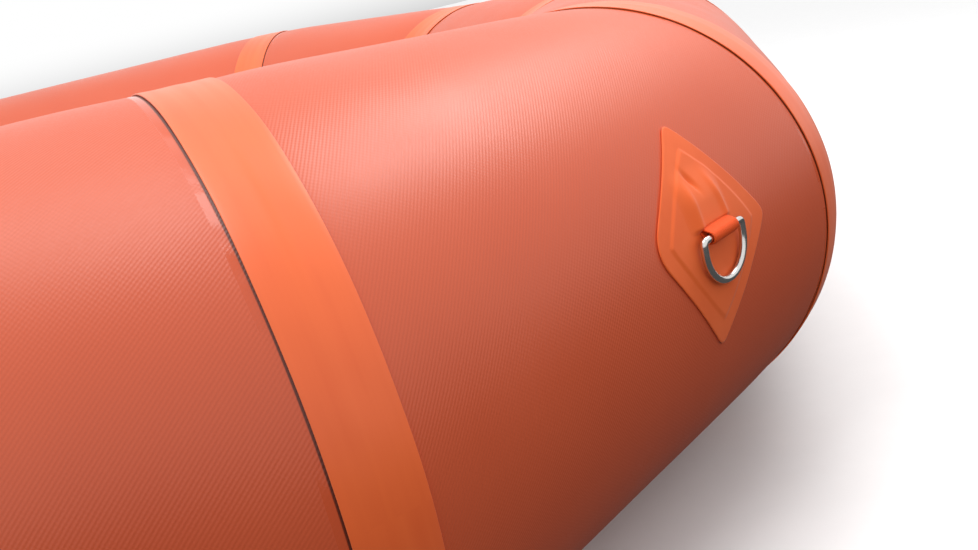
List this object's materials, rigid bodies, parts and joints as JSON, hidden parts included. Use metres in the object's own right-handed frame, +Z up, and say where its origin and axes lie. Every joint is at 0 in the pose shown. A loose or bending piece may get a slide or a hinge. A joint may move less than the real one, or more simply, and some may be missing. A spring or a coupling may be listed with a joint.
{
  "type": "inflatable raft",
  "caption": "Round-ended inflatable raft with two thwarts, a beamed air floor, D-ring stations and flip-cap air valves.",
  "frame": {"origin": "under the middle of the raft, on the floor's flat underside", "axes": "+X to the bow, +Y to port, +Z up"},
  "size_m": [2.9536, 1.495, 0.4016],
  "materials": {
    "hull": "PVC-coated polyester, satin with the weave showing through",
    "seam_tape": "smooth PVC-coated tape, satin",
    "baffle": "PVC-coated polyester",
    "floor": "PVC-coated polyester, satin",
    "webbing": "woven polyester webbing",
    "stainless": "polished stainless steel",
    "valve": "moulded nylon, fine texture",
    "plunger": "moulded acetal"
  },
  "bodies": {
    "raft": {"baffle_bow": "baffle", "baffle_stern": "baffle", "bow_corner_port": "hull", "bow_corner_starboard": "hull", "bow_nose_port": "hull", "bow_nose_starboard": "hull", "floor": "floor", "patch_bow_port": "seam_tape", "patch_bow_starboard": "seam_tape", "patch_side_port": "seam_tape", "patch_side_starboard": "seam_tape", "patch_stern_port": "seam_tape", "patch_stern_starboard": "seam_tape", "side_tube_port": "hull", "side_tube_starboard": "hull", "stern_corner_port": "hull", "stern_corner_starboard": "hull", "stern_nose_port": "hull", "stern_nose_starboard": "hull", "tape_bow_corner_port": "seam_tape", "tape_bow_corner_starboard": "seam_tape", "tape_bow_middle": "seam_tape", "tape_bow_side_port": "seam_tape", "tape_bow_side_starboard": "seam_tape", "tape_stern_corner_port": "seam_tape", "tape_stern_corner_starboard": "seam_tape", "tape_stern_middle": "seam_tape", "tape_stern_side_port": "seam_tape", "tape_stern_side_starboard": "seam_tape", "thwart_aft": "hull", "thwart_fore": "hull", "valve_body_floor": "valve", "valve_body_port": "valve", "valve_body_starboard": "valve", "valve_body_thwart_aft": "valve", "valve_body_thwart_fore": "valve", "webbing_bow_port": "webbing", "webbing_bow_starboard": "webbing", "webbing_side_port": "webbing", "webbing_side_starboard": "webbing", "webbing_stern_port": "webbing", "webbing_stern_starboard": "webbing"},
    "ring_bow_starboard": {"dring_bow_starboard": "stainless"},
    "ring_bow_port": {"dring_bow_port": "stainless"},
    "ring_side_port": {"dring_side_port": "stainless"},
    "ring_stern_port": {"dring_stern_port": "stainless"},
    "ring_stern_starboard": {"dring_stern_starboard": "stainless"},
    "ring_side_starboard": {"dring_side_starboard": "stainless"},
    "cap_port": {"valve_cap_port": "valve"},
    "plunger_port": {"valve_plunger_port": "plunger"},
    "cap_starboard": {"valve_cap_starboard": "valve"},
    "plunger_starboard": {"valve_plunger_starboard": "plunger"},
    "cap_thwart_fore": {"valve_cap_thwart_fore": "valve"},
    "plunger_thwart_fore": {"valve_plunger_thwart_fore": "plunger"},
    "cap_thwart_aft": {"valve_cap_thwart_aft": "valve"},
    "plunger_thwart_aft": {"valve_plunger_thwart_aft": "plunger"},
    "cap_floor": {"valve_cap_floor": "valve"},
    "plunger_floor": {"valve_plunger_floor": "plunger"}
  },
  "joints": [
    {"name": "ring_bow_starboard_swing", "type": "hinge", "parent": "raft", "child": "ring_bow_starboard", "pos_m": [1.19634, -0.55823, 0.2355], "axis": [-0.7788, -0.6272, 0.0089], "range_deg": [0, 170]},
    {"name": "ring_bow_port_swing", "type": "hinge", "parent": "raft", "child": "ring_bow_port", "pos_m": [1.19634, 0.55823, 0.2355], "axis": [0.7788, -0.6272, -0.0089], "range_deg": [0, 170]},
    {"name": "ring_side_port_swing", "type": "hinge", "parent": "raft", "child": "ring_side_port", "pos_m": [0, 0.74331, 0.23813], "axis": [1, 0, 0], "range_deg": [0, 170]},
    {"name": "ring_stern_port_swing", "type": "hinge", "parent": "raft", "child": "ring_stern_port", "pos_m": [-1.19634, 0.55823, 0.2355], "axis": [0.7788, 0.6272, 0.0089], "range_deg": [0, 170]},
    {"name": "ring_stern_starboard_swing", "type": "hinge", "parent": "raft", "child": "ring_stern_starboard", "pos_m": [-1.19634, -0.55823, 0.2355], "axis": [-0.7788, 0.6272, -0.0089], "range_deg": [0, 170]},
    {"name": "ring_side_starboard_swing", "type": "hinge", "parent": "raft", "child": "ring_side_starboard", "pos_m": [0, -0.74331, 0.23813], "axis": [-1, 0, 0], "range_deg": [0, 170]},
    {"name": "cap_port_flip", "type": "hinge", "parent": "raft", "child": "cap_port", "pos_m": [-0.479, 0.42055, 0.36988], "axis": [0, 0.8192, 0.5736], "range_deg": [0, 120]},
    {"name": "plunger_port_press", "type": "slide", "parent": "raft", "child": "plunger_port", "axis": [0, 0.5736, -0.8192], "range_m": [0, 0.006], "stiffness_N_per_m": 600},
    {"name": "cap_starboard_flip", "type": "hinge", "parent": "raft", "child": "cap_starboard", "pos_m": [-0.479, -0.42055, 0.36988], "axis": [0, 0.8192, -0.5736], "range_deg": [0, 120]},
    {"name": "plunger_starboard_press", "type": "slide", "parent": "raft", "child": "plunger_starboard", "axis": [0, -0.5736, -0.8192], "range_m": [0, 0.006], "stiffness_N_per_m": 600},
    {"name": "cap_thwart_fore_flip", "type": "hinge", "parent": "raft", "child": "cap_thwart_fore", "pos_m": [0.365, 0.22, 0.3678], "axis": [0, 1, 0], "range_deg": [0, 120]},
    {"name": "plunger_thwart_fore_press", "type": "slide", "parent": "raft", "child": "plunger_thwart_fore", "axis": [0, 0, -1], "range_m": [0, 0.006], "stiffness_N_per_m": 600},
    {"name": "cap_thwart_aft_flip", "type": "hinge", "parent": "raft", "child": "cap_thwart_aft", "pos_m": [-0.315, 0.22, 0.3678], "axis": [0, 1, 0], "range_deg": [0, 120]},
    {"name": "plunger_thwart_aft_press", "type": "slide", "parent": "raft", "child": "plunger_thwart_aft", "axis": [0, 0, -1], "range_m": [0, 0.006], "stiffness_N_per_m": 600},
    {"name": "cap_floor_flip", "type": "hinge", "parent": "raft", "child": "cap_floor", "pos_m": [-0.695, 0, 0.1058], "axis": [0, 1, 0], "range_deg": [0, 120]},
    {"name": "plunger_floor_press", "type": "slide", "parent": "raft", "child": "plunger_floor", "axis": [0, 0, -1], "range_m": [0, 0.006], "stiffness_N_per_m": 600}
  ]
}
